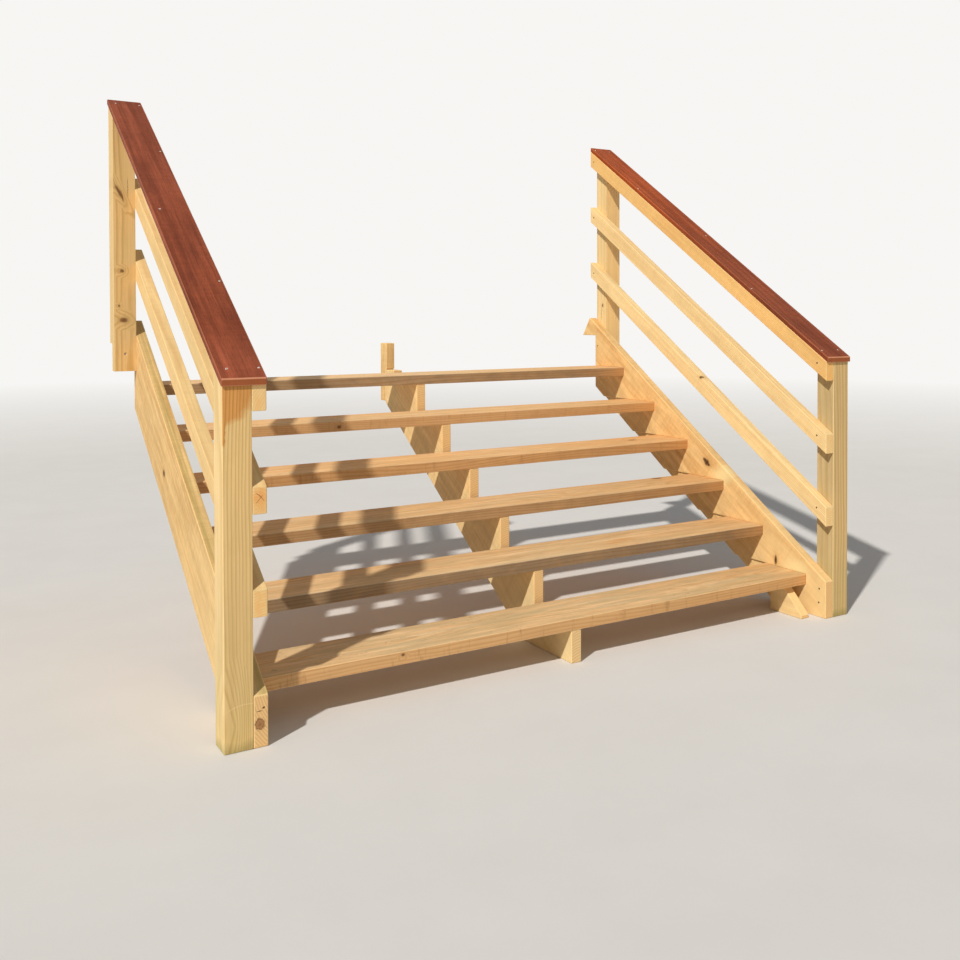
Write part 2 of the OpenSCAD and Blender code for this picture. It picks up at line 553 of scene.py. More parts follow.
def saw_marks(n, sawn):
    """Lays amber and pale patches, and gives the light on the saw's chatter."""
    n.chatter = n.long_noise(n.grain, 85.0, 9.0, 1.0 + 3.0 * sawn, 0.7)
    honey = n.long_noise(n.bent, 2.6, 26.0, 5.0, 0.66)
    honey = n.spread(honey, 0.44, 0.68, 0.0, 0.75 * sawn)
    honey = n.times(honey, n.spread(n.warmth, -0.8, 0.0, 0.35, 1.0))
    n.cover(honey, n.late, 1.02)
    pallid = n.long_noise(n.bent, 3.6, 34.0, 5.0, 0.66)
    n.cover(n.spread(pallid, 0.46, 0.68, 0.0, 0.8 * sawn), n.early, 1.15)
    brushed = n.long_noise(n.grain, 26.0, 22.0, 1.0 + 4.0 * sawn, 0.72)
    return n.times(
        n.sway(n.chatter, 1 - 0.09 * sawn, 1 + 0.06 * sawn),
        n.sway(brushed, 1 - 0.08 * sawn, 1 + 0.06 * sawn),
    )


def bleach(n):
    """Wood bleached by the sun near the ground, and mould on its worn upper faces."""
    low = n.spread(n.height, -0.55, -1.0, 0.0, n.looks.pale)
    n.cover(low, (0.88, 0.665, 0.335))
    mould = n.long_noise(n.grain, 1.6, 85.0, 3.0)
    mould = n.spread(mould, 0.38, 0.62, 0.25, 0.85)
    n.cover(n.times(mould, n.upward, n.wear), (0.34, 0.265, 0.07))


def warm(n):
    """Less green and blue where a board is warm, and the front faces toned by the kind's front
    factors.
    """
    shade = n.add("ShaderNodeCombineXYZ", *[n.warmth] * 3)
    shade = n.vector("MULTIPLY", shade, (0.0, -0.08, -0.18))
    n.shade = n.vector("ADD", shade, (1.0, 1.0, 1.0))
    n.base = n.toned(n.base, n.shade)
    n.dye(n.forward, n.looks.front)


def cut_ends(n):
    """End grain with rings and amber streaks, and a painted highlight on the eased arrises."""
    tone = tuple(min(1.0, c * k) for c, k in zip(n.early, n.looks.end_tone))
    rings = n.times(n.band, n.looks.end_rings)
    ends = n.mix(rings, colour(tone), colour(n.late, 0.82))
    amber = n.long_noise(n.grain, 1.0, 45.0, 3.0, 0.6)
    amber = n.spread(amber, 0.42, 0.64, 0.0, n.looks.end_amber)
    ends = n.toned(n.mix(amber, ends, n.toned(tone, (0.98, 0.80, 0.64))), n.shade)
    n.base = n.mix(n.times(n.number("cut_end"), 0.8), n.base, ends)
    # Painted highlight: the eased arrises lightened towards the early wood, as if they caught
    # the light
    n.cover(n.times(n.number("arris"), n.looks.rubbed), n.early, 1.12)


def tread_dirt(n):
    """Bright streaks, darker and greyer fronts, scrapes, dust and scuffs on the treads."""
    grime, across = n.looks.grime, n.part(n.place, 0)
    bright = n.long_noise(n.grain, 1.6, 30.0, 4.0, 0.6)
    bright = n.spread(bright, 0.48, 0.66, 0.0, 0.6)
    n.cover(n.times(bright, n.upward), (0.93, 0.68, 0.40))
    right = n.times(n.spread(across, 0.0, 1.1), n.sway(n.patch, 0.5, 1.0))
    n.dye(right, (0.86, 0.80, 0.71))
    right_end_fade = n.spread(across, 1.0, 1.16, 1.0, 0.6)
    # The front of each tread made darker and greyer by its own amount, less so towards its
    # right end
    soil = n.times(n.number("soil"), n.sway(n.blotch, 0.88, 1.1), right_end_fade)
    n.dye(soil, (0.42, 0.49, 0.66))
    mottle = n.long_noise(n.bent, 8.0, 46.0, 4.0, 0.68)
    mottle = n.mix(n.upward, (1.0, 1.0, 1.0, 1.0), n.sway(mottle, 0.86, 1.10))
    n.base = n.toned(n.base, mottle)
    scrape = n.vector("MULTIPLY", n.grain, (60.0, 4.0, 9.0))
    scrape = n.noise(scrape, detail=3.0, rough=0.7)
    scrape = n.spread(scrape, 0.57, 0.72, 0.0, 0.6 * grime)
    n.cover(n.times(scrape, n.forward), n.late, 0.62)
    dust = n.long_noise(n.bent, 2.6, 20.0, 5.0, 0.66)
    worn = n.spread(n.wear, 0.0, 1.0, 0.16 * grime, 0.8 * grime)
    n.cover(n.times(n.spread(dust, 0.38, 0.72), n.upward, worn), (0.49, 0.37, 0.19))
    scuff = n.long_noise(n.grain, 26.0, 60.0, 3.0, 0.7)
    worn = n.spread(n.wear, 0.0, 1.0, 0.15, 0.5)
    n.cover(n.times(n.spread(scuff, 0.62, 0.74), n.upward, worn), (0.20, 0.13, 0.07))


def ground_damp(n):
    """Green that fades up the posts, and a damp line at their feet."""
    green = n.looks.green
    low = n.spread(n.height, GROUND + 0.02, GROUND + 0.42, green, green * 0.3)
    cloud = n.long_noise(n.grain, 3.0, 30.0, 3.0)
    n.cover(n.times(low, n.sway(cloud, 0.3, 1.0)), (0.40, 0.39, 0.12))
    damp = n.maths("ADD", n.height, n.sway(cloud, -0.012, 0.012))
    damp = n.spread(damp, GROUND + 0.006, GROUND + 0.034, 0.65, 0.0)
    n.dye(damp, (0.52, 0.58, 0.50))


def draw_stains(n):
    """Pale patches, flames, oil stains and a pencilled arc at their places."""
    pallor = marked(n, n.soaking, "pallors")
    if pallor is not None:
        pallor = n.spread(pallor, 0.4, 1.2, 1.0, 0.0)
        n.cover(n.times(pallor, n.sway(n.streak, 1.0, 0.5)), (0.89, 0.74, 0.375))
    flame = marked(n, n.soaking, "flames")
    if flame is not None:
        n.dye(n.spread(flame, 0.3, 1.2, 0.6, 0.0), (0.96, 0.66, 0.41))
    stain = marked(n, n.soaking, "stains")
    if stain is not None:
        soaked = n.spread(stain, 0.86, 1.06, 0.85, 0.0)
        n.dye(n.times(soaked, n.forward), (0.80, 0.51, 0.27))
    arc = marked(n, n.place, "pencil")
    if arc is not None:
        arc = n.maths("ABSOLUTE", n.maths("SUBTRACT", arc, 1.0))
        line = n.spread(arc, 0.007, 0.014, 0.4, 0.0)
        top = n.spread(n.height, GROUND + 0.118, GROUND + 0.132)
        n.cover(n.times(line, n.forward, top), n.early, 1.12)


def draw_knots(n):
    """Eye knots, plain knots with a halo, and checks."""
    eye = marked(n, n.ragged, "eyes")
    if eye is not None:
        grubby = n.noise(n.place, scale=130.0)
        eye = n.maths("ADD", eye, n.sway(grubby, -0.22, 0.22))
        n.cover(n.spread(eye, 1.1, 0.5, 0.0, 0.8), (0.52, 0.235, 0.09))
        ring = n.ramp(n.spread(eye, 0.0, 2.0), *EYE_RING)
        n.cover(ring, (0.17, 0.065, 0.022))
    if n.knot is not None:
        halo = n.spread(n.knot, 0.6, 3.2)
        n.cover(n.ramp(halo, (0.0, 0.6), (0.45, 0.24), (1.0, 0.0)), n.late, 0.8)
        core = n.ramp(n.spread(n.knot, 0.0, 2.0), *KNOT_CORE)
        n.cover(core, n.looks.knot_tone)
    check = marked(n, n.ragged, "checks")
    if check is not None:
        split = n.ramp(check, (0.0, 0.95), (0.75, 0.85), (1.0, 0.0))
        n.cover(split, n.looks.check_tone)


def finish_surface(n):
    """Puts the colour on the shader, with a soft sheen and the grain's relief."""
    n.put(n.shader.inputs["Base Color"], n.base)
    n.put(n.shader.inputs["Roughness"], n.sway(n.fibres, 0.62, 0.80))
    rough = n.maths("ADD", n.times(n.fibres, 0.5), n.times(n.band, 0.35))
    if n.looks.sawn:
        rough = n.maths("ADD", rough, n.times(n.chatter, 0.4 * n.looks.sawn))
    n.emboss(rough, n.looks.relief, 0.0008)
    n.shader.inputs["Specular IOR Level"].default_value = 0.2


def pine(name, early, late, ring, marks, looks):
    """Softwood, as layers that each cover or dye the colour so far, n.base."""
    n = Nodes(name)
    n.early, n.late, n.marks = early, late, marks
    n.looks = SimpleNamespace(**{**PLAIN_PINE, **looks})
    n.place, n.grain = n.where(), n.triple("grain")
    n.height = n.part(n.place, 2)
    n.warmth, n.wear = n.number("warmth"), n.number("wear")
    # Each is 1 on faces that look that way
    facing = n.triple("facing")
    n.forward = n.spread(n.part(facing, 1), -0.4, -0.95)
    n.upward = n.spread(n.part(facing, 2), 0.6, 0.95)
    n.leftward = n.spread(n.part(facing, 0), -0.5, -0.9)
    # Places shaken finely for ragged edges, and coarsely for soaked ones
    pattern = n.noise(n.place, 70.0, 3.0, 0.6, colour=True)
    n.ragged = n.shaken(n.place, pattern, (0.008, 0.008, 0.008))
    pattern = n.noise(n.place, 16.0, 4.0, 0.6, colour=True)
    n.soaking = n.shaken(n.place, pattern, (0.05, 0.0, 0.05))
    n.knot = marked(n, n.ragged, "knots")

    draw_rings(n, ring)
    draw_wood(n)
    if n.looks.pale:
        bleach(n)
    warm(n)
    cut_ends(n)
    if n.looks.grime:
        tread_dirt(n)
    if n.looks.green:
        ground_damp(n)
    draw_stains(n)
    draw_knots(n)
    finish_surface(n)
    return n.material


def hardwood(name, red):
    """Oiled red hardwood: long figure, darker patches, fine open pores and a painted highlight
    on the arrises.
    """
    n = Nodes(name)
    grain, place_y, warmth = n.triple("grain"), n.part(n.where(), 1), n.number("warmth")
    aside = n.maths("ABSOLUTE", n.part(n.triple("facing"), 0))
    figure = n.long_noise(grain, 1.6, 48.0, 5.0, 0.64)
    patch = n.long_noise(grain, 3.4, 12.0, 4.0, 0.6)
    planed = n.long_noise(grain, 70.0, 6.0)
    pores = n.long_noise(grain, 60.0, 900.0, 1.0)
    n.base = n.mix(n.spread(figure, 0.34, 0.68), colour(red, 1.25), colour(red, 0.68))
    n.cover(n.spread(patch, 0.45, 0.68, 0.0, 0.55), red, 0.48)
    n.cover(n.spread(pores, 0.56, 0.66, 0.0, 0.5), red, 0.35)
    tint = n.spread(n.number("tint"), -1.0, 1.0, 0.85, 1.15)
    n.lit(n.times(tint, n.sway(planed, 0.93, 1.05)))
    n.lit(n.sway(n.long_noise(grain, 4.0, 150.0, 3.0, 0.7), 0.84, 1.14))
    n.dye(n.times(warmth, 0.5), (1.0, 0.97, 0.80))
    n.dye(n.times(n.spread(place_y, -1.35, -0.35), warmth), (1.50, 1.22, 0.68))
    cool = n.maths("SUBTRACT", 1.0, warmth)
    n.dye(n.times(n.spread(place_y, -1.52, -1.68), cool), (1.42, 1.50, 1.62))
    n.cover(n.times(n.number("cut_end"), 0.7), (0.40, 0.125, 0.045))
    # Painted highlight on the rounded arrises, strongest where they face the front
    rubbed = n.times(n.number("arris"), n.spread(aside, 0.05, 0.3, 0.9, 0.15))
    n.cover(rubbed, (0.66, 0.29, 0.16))
    n.put(n.shader.inputs["Base Color"], n.base)
    n.put(n.shader.inputs["Roughness"], n.sway(figure, 0.42, 0.55))
    n.emboss(n.maths("SUBTRACT", figure, n.spread(pores, 0.56, 0.66)), 0.25, 0.0005)
    n.shader.inputs["Specular IOR Level"].default_value = 0.035
    return n.material


def plated_steel(name, dark, bright):
    """Plated steel with a faintly mottled sheen."""
    n = Nodes(name)
    cloud = n.noise(n.where(), scale=260.0)
    n.put(n.shader.inputs["Base Color"], n.mix(cloud, colour(dark), colour(bright)))
    n.put(n.shader.inputs["Roughness"], n.sway(cloud, 0.35, 0.55))
    n.shader.inputs["Metallic"].default_value = 0.85
    return n.material


FINISHES = {}


def finish(name, make, *values):
    """One material of each name, made on first use."""
    if name not in FINISHES:
        FINISHES[name] = make(name, *values)
    return FINISHES[name]


# Boards

# Each mark's middle, its reach along X, Y and Z, and for some its lean about the Y axis
MARKS = {
    "stringer": {
        "knots": (
            ((INSIDE, -0.981, -0.508), (0.12, 0.006, 0.006)),
            ((INSIDE, -0.989, -0.514), (0.12, 0.009, 0.009)),
            ((INSIDE, -1.000, -0.523), (0.12, 0.0145, 0.0135)),
            ((INSIDE, -1.011, -0.532), (0.12, 0.009, 0.008)),
            ((INSIDE, -1.451, -0.905), (0.12, 0.007, 0.018)),
            ((-OUTSIDE, -0.62, -0.42), (0.12, 0.013, 0.013)),
        ),
        "eyes": (((-1.241, POST_FRONT, -1.028), (0.014, 0.10, 0.015)),),
        "pallors": (
            ((INSIDE, -1.10, -0.575), (0.12, 0.075, 0.05)),
            ((INSIDE, -1.56, -0.935), (0.12, 0.085, 0.06)),
        ),
        "checks": (
            ((-1.243, POST_FRONT, -0.988), (0.012, 0.02, 0.0014)),
            ((-1.229, POST_FRONT, -0.980), (0.005, 0.02, 0.0035)),
        ),
    },
    "post": {
        "knots": (
            ((-1.310, TOP_POST_FRONT, 0.177), (0.014, 0.10, 0.010)),
            ((-1.316, TOP_POST_FRONT, 0.387), (0.008, 0.10, 0.007)),
            ((-1.330, TOP_POST_FRONT, 0.237), (0.004, 0.10, 0.004)),
            ((-1.325, TOP_POST_FRONT, 0.722), (0.0060, 0.10, 0.030), 0.50),
            ((-1.314, TOP_POST_FRONT, 0.706), (0.0035, 0.10, 0.020), 0.25),
            ((1.26, -0.098, 0.245), (0.10, 0.005, 0.008)),
        ),
        "swirls": (((-1.315, POST_FRONT, -1.02), (0.045, 0.10, 0.16)),),
        "checks": (
            ((1.26, -0.087, 0.20), (0.03, 0.0012, 0.045)),
            ((-1.290, TOP_POST_FRONT, 0.745), (0.0010, 0.03, 0.05)),
        ),
        "stains": (
            ((-1.346, POST_FRONT, HEAD - 0.014), (0.094, 0.05, 0.104)),
            ((-1.345, POST_FRONT, HEAD - 0.12), (0.010, 0.05, 0.07)),
        ),
        "pencil": (((-1.285, POST_FRONT, -1.077), (0.118, 0.02, 0.118)),),
    },
    "tread": {
        "knots": (
            ((-0.523, front_of(2), -0.284), (0.009, 0.05, 0.007)),
            ((0.974, -0.723, top_of(3)), (0.020, 0.011, 0.05)),
            ((0.988, -0.897, top_of(4)), (0.030, 0.011, 0.05)),
            ((-0.714, front_of(6), -0.943), (0.006, 0.06, 0.0045)),
        ),
        "flames": (
            ((0.485, -1.262, top_of(5)), (0.085, 0.022, 0.02)),
            ((0.43, -1.300, top_of(5)), (0.060, 0.014, 0.02)),
        ),
        "swirls": (
            ((0.86, -1.53, top_of(6)), (0.30, 0.05, 0.05)),
            ((-0.30, -1.54, top_of(6)), (0.38, 0.04, 0.05)),
            ((0.55, -1.02, top_of(4)), (0.34, 0.05, 0.05)),
            ((-0.55, -1.27, top_of(5)), (0.42, 0.05, 0.05)),
            ((0.30, -0.50, top_of(2)), (0.40, 0.05, 0.05)),
        ),
    },
    "rail": {
        "knots": (
            ((INSIDE, -0.955, -0.112), (0.02, 0.008, 0.006)),
            ((INSIDE, -1.33, 0.295), (0.10, 0.006, 0.006)),
            ((-OUTSIDE, -0.9, 0.5), (0.10, 0.010, 0.010)),
        ),
        "checks": (
            ((-1.237, POST_FRONT, -0.343), (0.0016, 0.02, 0.023), 0.80),
            ((-1.239, POST_FRONT, -0.351), (0.0012, 0.02, 0.019), -0.75),
        ),
        "flames": (((-1.234, POST_FRONT, -0.352), (0.030, 0.02, 0.042)),),
    },
}
# How a kind of board's pith wanders, how its rings stand out, its wear and its tones
LOOKS = {
    "stringer": {
        "wander": 0.022,
        "contrast": 0.40,
        "sawn": 1.0,
        "pale": 0.5,
        "end_tone": (1.08, 1.00, 0.98),
        "knot_tone": (0.06, 0.022, 0.009),
    },
    "post": {
        "wander": 0.005,
        "contrast": 0.95,
        "green": 0.36,
        "front": (1.0, 0.93, 0.83),
        "knot_tone": (0.20, 0.085, 0.032),
    },
    "tread": {
        "wander": 0.020,
        "contrast": 0.80,
        "grime": 1.0,
        "front": (0.90, 0.81, 0.70),
        "knot_tone": (0.19, 0.085, 0.033),
    },
    "rail": {
        "wander": 0.010,
        "contrast": 0.6,
        "sawn": 0.4,
        "relief": 0.12,
        "rubbed": 0.2,
        "end_tone": (1.12, 0.98, 0.86),
        "check_tone": (0.36, 0.15, 0.05),
        "end_rings": 0.25,
        "end_amber": 0.75,
    },
}
# Late wood as a share of the early wood's red, green and blue
USUAL_LATE = (0.76, 0.60, 0.44)
LATE = {"post": (0.70, 0.60, 0.42)}
# Finish, way of the grain, place of the pith across the board, tint, wear and warmth
BOARDS = {
    "left_stringer": ("stringer", UPHILL, (0.11, -0.10), 0.2, 1.0, 0.0),
    "right_stringer": ("stringer", UPHILL, (-0.13, 0.07), 0.1, 0.0, 0.3),
    "centre_stringer": ("stringer", UPHILL, (0.05, 0.10), 0.1, 0.0, -0.8),
    "centre_hanger": ("stringer", Z_AXIS, (0.06, 0.04), -0.2, 0.0, 0.0),
    "right_foot_block": ("stringer", Y_AXIS, (0.0, -0.05), 0.0, 0.0, 0.0),
    "tread_1": ("tread", X_AXIS, (0.035, -0.095), 0.8, 0.2, 0.3),
    "tread_2": ("tread", X_AXIS, (-0.04, -0.10), 0.9, 0.3, 0.4),
    "tread_3": ("tread", X_AXIS, (0.02, 0.09), 0.6, 0.1, 1.0),
    "tread_4": ("tread", X_AXIS, (-0.03, -0.085), 0.1, 0.4, 0.6),
    "tread_5": ("tread", X_AXIS, (0.05, -0.10), 0.1, 0.4, 0.2),
    "tread_6": ("tread", X_AXIS, (-0.01, 0.08), 0.35, 1.0, 0.1),
    "left_bottom_post": ("post", Z_AXIS, (0.30, 0.05), 0.35, 0.0, 0.1),
    "right_bottom_post": ("post", Z_AXIS, (-0.24, 0.12), -0.8, 0.0, 0.1),
    "left_top_post": ("post", Z_AXIS, (0.02, 0.07), -0.2, 0.0, 0.4),
    "right_top_post": ("post", Z_AXIS, (0.25, 0.09), 1.7, 0.0, 0.1),
    "left_lower_rail": ("rail", UPHILL, (0.05, 0.22), -0.3, 0.0, 0.5),
    "left_middle_rail": ("rail", UPHILL, (-0.01, 0.02), -0.4, 0.0, 0.5),
    "left_top_rail": ("rail", UPHILL, (0.10, 0.06), -0.4, 0.0, 0.2),
    "right_lower_rail": ("rail", UPHILL, (0.04, -0.20), 0.1, 0.0, -0.1),
    "right_middle_rail": ("rail", UPHILL, (-0.06, 0.24), 0.1, 0.0, 0.1),
    "right_top_rail": ("rail", UPHILL, (0.02, 0.18), -0.2, 0.0, 2.0),
    "left_handrail": ("handrail", UPHILL, (0.03, 0.12), 0.0, 0.0, 0.0),
    "right_handrail": ("handrail", UPHILL, (-0.05, 0.10), 0.0, 0.0, 1.0),
}
# Painted shade: a lower tint, in place of the board's own, on the faces turned to the left
LEFT_FACE_SHADE = {"right_bottom_post": -1.9, "right_top_post": 0.3, "left_stringer": -0.5}
# Share of the usual number of rings, where a board grew faster
FINENESS = {"left_bottom_post": 0.72, "right_bottom_post": 0.5}
# How much darker and greyer the front of each tread is made
FRONT_DARKENING = dict(zip(TREADS, (0.9, 0.37, 0.40, 0.62, 1.0, 0.10)))
SLOTS = {
    "stringer": "pale_pine",
    "tread": "tread_pine",
    "post": "post_pine",
    "rail": "rail_pine",
    "handrail": "red_hardwood",
}


def board_finish(kind):
    settings = bpy.context.scene.stair_timber
    if kind == "handrail":
        return finish("oiled_hardwood", hardwood, tuple(settings.hardwood_colour))
    early = tuple(getattr(settings, kind + "_colour"))
    late = tuple(c * k for c, k in zip(early, LATE.get(kind, USUAL_LATE)))
    ring = settings.ring_width
    return finish(kind + "_timber", pine, early, late, ring, MARKS[kind], LOOKS[kind])


def show_board(node, mesh):
    """Writes a board's grain and shows it in place of its solid."""
    kind = BOARDS[node][0]
    write_grain(mesh, node)
    return place(node + "_board", mesh, board_finish(kind), SLOTS[kind], node)


# Pieces


class STAIR_OT_treads(bpy.types.Operator):
    """Six treads with eased arrises"""

    bl_idname = "stair.treads"
    bl_label = "Treads"

    def execute(self, context):
        ease = context.scene.stair_timber.board_ease
        for node in TREADS:
            low, high = span(node)
            size = high - low
            start = (low + high) / 2 - X_AXIS * size[0] / 2
            board = carried_board(start, X_AXIS, Y_AXIS, Z_AXIS, tuple(size), ease)
            show_board(node, new_mesh(node + "_board", *board))
        return {"FINISHED"}


class STAIR_OT_stringers(bpy.types.Operator):
    """Side stringers, centre stringer, hanger and foot block"""

    bl_idname = "stair.stringers"
    bl_label = "Stringers"

    def execute(self, context):
        for node, board in BOARDS.items():
            if board[0] == "stringer":
                show_board(node, eased_copy(node, context.scene.stair_timber.board_ease))
        return {"FINISHED"}


class STAIR_OT_posts(bpy.types.Operator):
    """Square posts at the foot and at the head of the flight"""

    bl_idname = "stair.posts"
    bl_label = "Posts"

    def execute(self, context):
        ease = context.scene.stair_timber.board_ease
        for side in SIDES:
            node = side + "_bottom_post"
            low, high = span(node)
            wide, deep, tall = high - low
            start = np.array([(low[0] + high[0]) / 2, (low[1] + high[1]) / 2, low[2]])
            size = (tall - deep * SLOPE / 2, wide, deep)
            board = carried_board(start, Z_AXIS, X_AXIS, Y_AXIS, size, ease, (0.0, SLOPE))
            show_board(node, new_mesh(node + "_board", *board))
            node = side + "_top_post"
            show_board(node, eased_copy(node, ease))
        return {"FINISHED"}


class STAIR_OT_rails(bpy.types.Operator):
    """Three rails on each side"""

    bl_idname = "stair.rails"
    bl_label = "Rails"

    def execute(self, context):
        for side in SIDES:
            for rail in RAILS:
                node = f"{side}_{rail}_rail"
                show_board(node, sloping_board(node, context.scene.stair_timber.board_ease))
        return {"FINISHED"}


class STAIR_OT_handrails(bpy.types.Operator):
    """Hardwood handrails with rounded arrises"""

    bl_idname = "stair.handrails"
    bl_label = "Handrails"

    def execute(self, context):
        for side in SIDES:
            node = side + "_handrail"
            show_board(node, sloping_board(node, context.scene.stair_timber.cap_ease))
        return {"FINISHED"}


# Radius of each ring of a screw head, from its sunk rim to the middle, as a share
HEAD_RINGS = (1.0, 1.0, 0.9, 0.75, 0.55, 0.42, 0.34, 0.24, 0.12)
HEAD_SIDES = 24
# Shares of a head's diameter: the height of its rim, the rise of its dome from there, and
# half the width, the reach and the floor's height of its cross
RIM_HEIGHT, DOME_RISE = 0.02, 0.11
CROSS_HALF, CROSS_REACH, CROSS_FLOOR = 0.075, 0.36, 0.03
# Turn from one screw's cross to the next one's, in radians
HEAD_TURN = 0.7
# A direction in which no screw points
ASKEW = (0.3, 0.5, 0.81)
# Size of a handrail screw's head, as a share of the others
CAP_HEAD = 0.9
# Depths to which the rims go below the timber's face
SCREW_DEPTH, BOLT_DEPTH = 0.002, 0.040
BOLT_DIAMETER = 0.0105
# A bolt head stands this far behind the tongue's face, at this height
BOLT_SINK, BOLT_HEIGHT = 0.004, 0.0322
# Y of the screws through the rails' ends
RAIL_SCREWS = (POST_FRONT + 0.051, TOP_POST_FRONT + 0.060)
# Y and Z of the screws at the ends of the side stringers
STRINGER_SCREWS = ((-1.701, -0.977), (-1.699, -1.037), (-0.113, 0.02), (-0.113, -0.10))
# Y of each row of screws in a handrail, and how far out its screws lie
INNER, OUTER = 1.227, 1.325
HANDRAIL_SCREWS = (
    (-1.701, (INNER, OUTER)),
    (-1.286, (INNER,)),
    (-0.87, (OUTER,)),
    (-0.455, (INNER,)),
    (-0.075, (INNER, OUTER)),
)


def screw_head(centre, out, turn, diameter, depth):
    """A low dome whose first ring lies depth below the timber's face.

    Height rises from the rim to the middle, but for the flat floor of a sunk cross.
    """
    r = np.array(HEAD_RINGS)[:, None] * diameter / 2
    t = (np.arange(HEAD_SIDES) * 2 * math.pi / HEAD_SIDES)[None, :]
    a, b = r * np.cos(t), r * np.sin(t)
    level = np.sqrt(np.maximum(0.0, 1 - (2 * r / diameter) ** 2))
    dome = diameter * (RIM_HEIGHT + DOME_RISE * level) + 0 * t
    cross = np.minimum(np.abs(a), np.abs(b)) < CROSS_HALF * diameter
    cross &= r < CROSS_REACH * diameter
    height = np.where(cross, CROSS_FLOOR * diameter, dome)
    height[0] = -depth
    out = np.asarray(out, float)
    first = np.cross(out, ASKEW)
    first /= np.linalg.norm(first)
    second = np.cross(out, first)
    across = math.cos(turn) * first + math.sin(turn) * second
    up = np.cross(out, across)
    points = (
        np.asarray(centre)
        + a[..., None] * across
        + b[..., None] * up
        + height[..., None] * out
    )
    return points.reshape(-1, 3)


def screw_set(name, places, diameter, depth, material):
    """One piece of many screw heads, each from (centre, outward way)."""
    points, faces = [], []
    for index, (centre, out) in enumerate(places):
        head = screw_head(centre, out, HEAD_TURN * index, diameter, depth)
        faces += carried_faces(len(HEAD_RINGS), HEAD_SIDES, len(head) * index)
        points.append(head)
    return place(name, new_mesh(name, np.concatenate(points), faces), material)


class STAIR_OT_screws(bpy.types.Operator):
    """Screw heads in the rails, stringers and handrails, and bolt heads in the tongues"""

    bl_idname = "stair.screws"
    bl_label = "Screws"

    def execute(self, context):
        head = context.scene.stair_screws.head
        dull = finish("dull_screw", plated_steel, (0.10, 0.075, 0.045), (0.24, 0.19, 0.12))
        bright = finish("bright_screw", plated_steel, (0.38, 0.36, 0.33), (0.62, 0.60, 0.56))
        timber_screws, cap_screws, bolts = [], [], []
        for side, sign in SIDES.items():
            inward = (-sign, 0.0, 0.0)
            for rail in RAILS:
                low, high = span(f"{side}_{rail}_rail")
                _, centre_y, centre_z = (low + high) / 2
                for y in RAIL_SCREWS:
                    z = centre_z + (y - centre_y) * SLOPE
                    timber_screws.append(((sign * INSIDE, y, z), inward))
            for y, z in STRINGER_SCREWS:
                timber_screws.append(((sign * INSIDE, y, z), inward))
            low, high = span(side + "_handrail")
            for y, row in HANDRAIL_SCREWS:
                z = high[2] - (high[1] - y) * SLOPE
                for x in row:
                    cap_screws.append(((sign * x, y, z), SQUARE_UP))
            low, high = span(side + "_top_post")
            middle = (low[0] + high[0]) / 2
            bolts.append(((middle, TOP_POST_FRONT + BOLT_SINK, BOLT_HEIGHT), -Y_AXIS))
        screw_set("tongue_bolts", bolts, BOLT_DIAMETER, BOLT_DEPTH, bright)
        screw_set("rail_screws", timber_screws, head, SCREW_DEPTH, dull)
        screw_set("handrail_screws", cap_screws, head * CAP_HEAD, SCREW_DEPTH, bright)
        return {"FINISHED"}


# Place of the camera, and its turns in degrees
EYE = (-2.209, -4.7489, 0.2105)
YAW, DOWN, ROLL = 31.5, 1.0, -0.1
LENS_SHIFT = (-0.0298, -0.1567)
SUN_WAY = (0.64, 0.38, -0.66)
SUN_WIDTH = 1.8
BACKDROP = (0.93, 0.92, 0.90, 1.0)
FLOOR_RADIUS, FLOOR_POINTS = 60.0, 96
# The floor lies this far below the posts' feet
FLOOR_GAP = 0.0005
# Distances between which the floor fades into the backdrop
FADE = (5.0, 16.0)


def aim_camera(scene, focal_length):
    yaw, down, roll = (math.radians(angle) for angle in (YAW, DOWN, ROLL))
    ahead = Vector(
        (math.sin(yaw) * math.cos(down), math.cos(yaw) * math.cos(down), -math.sin(down))
    )
    right = Vector((math.cos(yaw), -math.sin(yaw), 0.0))
    above = right.cross(ahead)
    right, above = (
        right * math.cos(roll) + above * math.sin(roll),
        above * math.cos(roll) - right * math.sin(roll),
    )
    turned = Matrix((right, above, -ahead)).transposed()
    lens = bpy.data.cameras.new("camera")
    lens.sensor_width = 36.0
    lens.lens = focal_length * 1000
    lens.shift_x, lens.shift_y = LENS_SHIFT
    lens.clip_start, lens.clip_end = 0.05, 200.0
    camera = bpy.data.objects.new("camera", lens)
    camera.matrix_world = Matrix.Translation(Vector(EYE)) @ turned.to_4x4()
    scene.collection.objects.link(camera)
    scene.camera = camera


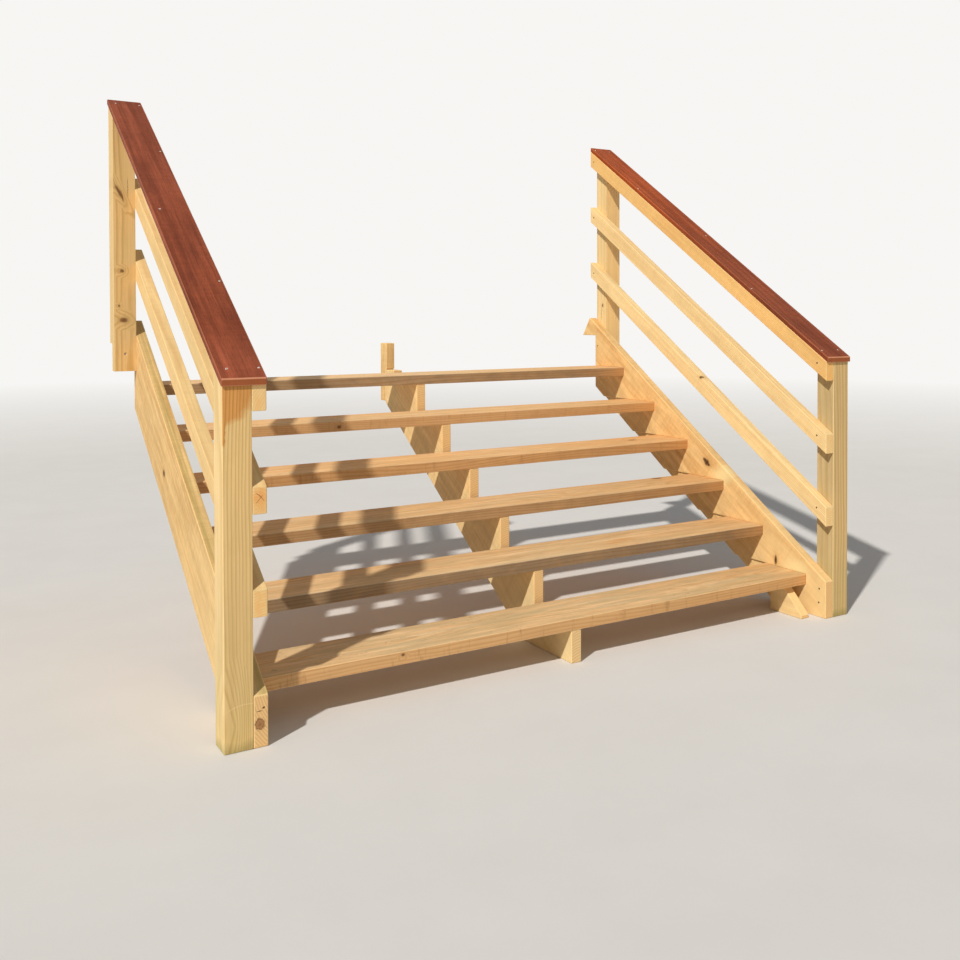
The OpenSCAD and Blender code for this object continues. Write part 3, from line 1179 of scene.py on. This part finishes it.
def light_scene(scene, key_strength, fill_strength):
    """A sun, an even fill from all round, and the backdrop that straight looks meet."""
    sun = bpy.data.lights.new("key", "SUN")
    sun.energy = key_strength
    sun.angle = math.radians(SUN_WIDTH)
    sun.color = (1.0, 0.97, 0.92)
    key = bpy.data.objects.new("key", sun)
    key.rotation_mode = "QUATERNION"
    key.rotation_quaternion = Vector(SUN_WAY).to_track_quat("-Z", "Y")
    scene.collection.objects.link(key)

    world = bpy.data.worlds.new("studio")
    scene.world = world
    world.use_nodes = True
    tree = world.node_tree
    fill = tree.nodes["Background"]
    fill.inputs[0].default_value = (0.93, 0.96, 1.0, 1.0)
    fill.inputs[1].default_value = fill_strength
    seen = tree.nodes.new("ShaderNodeBackground")
    seen.inputs[0].default_value = BACKDROP
    path = tree.nodes.new("ShaderNodeLightPath")
    chosen = path.outputs["Is Camera Ray"]
    for ray in ("Is Transmission Ray", "Is Glossy Ray"):
        either = tree.nodes.new("ShaderNodeMath")
        either.operation = "MAXIMUM"
        tree.links.new(chosen, either.inputs[0])
        tree.links.new(path.outputs[ray], either.inputs[1])
        chosen = either.outputs[0]
    mix = tree.nodes.new("ShaderNodeMixShader")
    for index, output in enumerate((chosen, fill.outputs[0], seen.outputs[0])):
        tree.links.new(output, mix.inputs[index])
    tree.links.new(mix.outputs[0], tree.nodes["World Output"].inputs[0])


def studio_floor(name):
    """Pale grit that fades into the backdrop with distance from the middle."""
    n = Nodes(name)
    where = n.where()
    grit = n.noise(where, scale=3.0, detail=5.0, rough=0.6)
    pale = n.mix(grit, (0.70, 0.68, 0.65, 1.0), (0.76, 0.74, 0.71, 1.0))
    n.put(n.shader.inputs["Base Color"], pale)
    n.shader.inputs["Roughness"].default_value = 0.9
    n.shader.inputs["Specular IOR Level"].default_value = 0.1
    away = n.vector("LENGTH", n.vector("MULTIPLY", where, (1.0, 1.0, 0.0)))
    fade = n.times(n.spread(away, *FADE), n.add("ShaderNodeLightPath"))
    glow = n.add("ShaderNodeEmission", BACKDROP, 1.0)
    both = n.add("ShaderNodeMixShader", fade, n.shader.outputs[0], glow)
    n.put(n.tree.nodes["Material Output"].inputs[0], both)
    return n.material


class STAIR_OT_stage(bpy.types.Operator):
    """Camera, lamps and a plain pale floor"""

    bl_idname = "stair.stage"
    bl_label = "Stage"

    def execute(self, context):
        scene = context.scene
        settings = scene.stair_stage
        scene.view_settings.view_transform = "Standard"
        aim_camera(scene, settings.lens)
        light_scene(scene, settings.key_strength, settings.fill_strength)
        turn = np.arange(FLOOR_POINTS) * 2 * math.pi / FLOOR_POINTS
        rim = np.stack([np.cos(turn), np.sin(turn), turn * 0], -1) * FLOOR_RADIUS
        rim[:, 2] = GROUND - FLOOR_GAP
        disc = new_mesh("floor", rim, [list(range(FLOOR_POINTS))])
        disc.materials.append(studio_floor("floor"))
        floor = bpy.data.objects.new("floor", disc)
        scene.collection.objects.link(floor)
        return {"FINISHED"}


class STAIR_PT_panel(bpy.types.Panel):
    bl_idname = "STAIR_PT_panel"
    bl_label = "Deck Stair"
    bl_space_type = "VIEW_3D"
    bl_region_type = "UI"
    bl_category = "Deck Stair"

    def draw(self, context):
        layout = self.layout
        for name, _ in GROUPS:
            group = getattr(context.scene, name)
            box = layout.box()
            for key in group.bl_rna.properties.keys():
                if key not in ("rna_type", "name"):
                    box.prop(group, key)
        for operator in OPERATORS:
            layout.operator(operator.bl_idname)


GROUPS = (
    ("stair_timber", StairTimberSettings),
    ("stair_screws", StairScrewSettings),
    ("stair_stage", StairStageSettings),
)
OPERATORS = (
    STAIR_OT_stage,
    STAIR_OT_stringers,
    STAIR_OT_treads,
    STAIR_OT_posts,
    STAIR_OT_rails,
    STAIR_OT_handrails,
    STAIR_OT_screws,
)


def register():
    for key, group in GROUPS:
        bpy.utils.register_class(group)
        setattr(bpy.types.Scene, key, PointerProperty(type=group))
    for part in (*OPERATORS, STAIR_PT_panel):
        bpy.utils.register_class(part)


def unregister():
    for part in reversed((*OPERATORS, STAIR_PT_panel)):
        bpy.utils.unregister_class(part)
    for key, group in reversed(GROUPS):
        delattr(bpy.types.Scene, key)
        bpy.utils.unregister_class(group)


def main():
    register()
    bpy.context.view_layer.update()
    for operator in OPERATORS:
        group, name = operator.bl_idname.split(".")
        getattr(getattr(bpy.ops, group), name)()


if __name__ == "__main__":
    main()
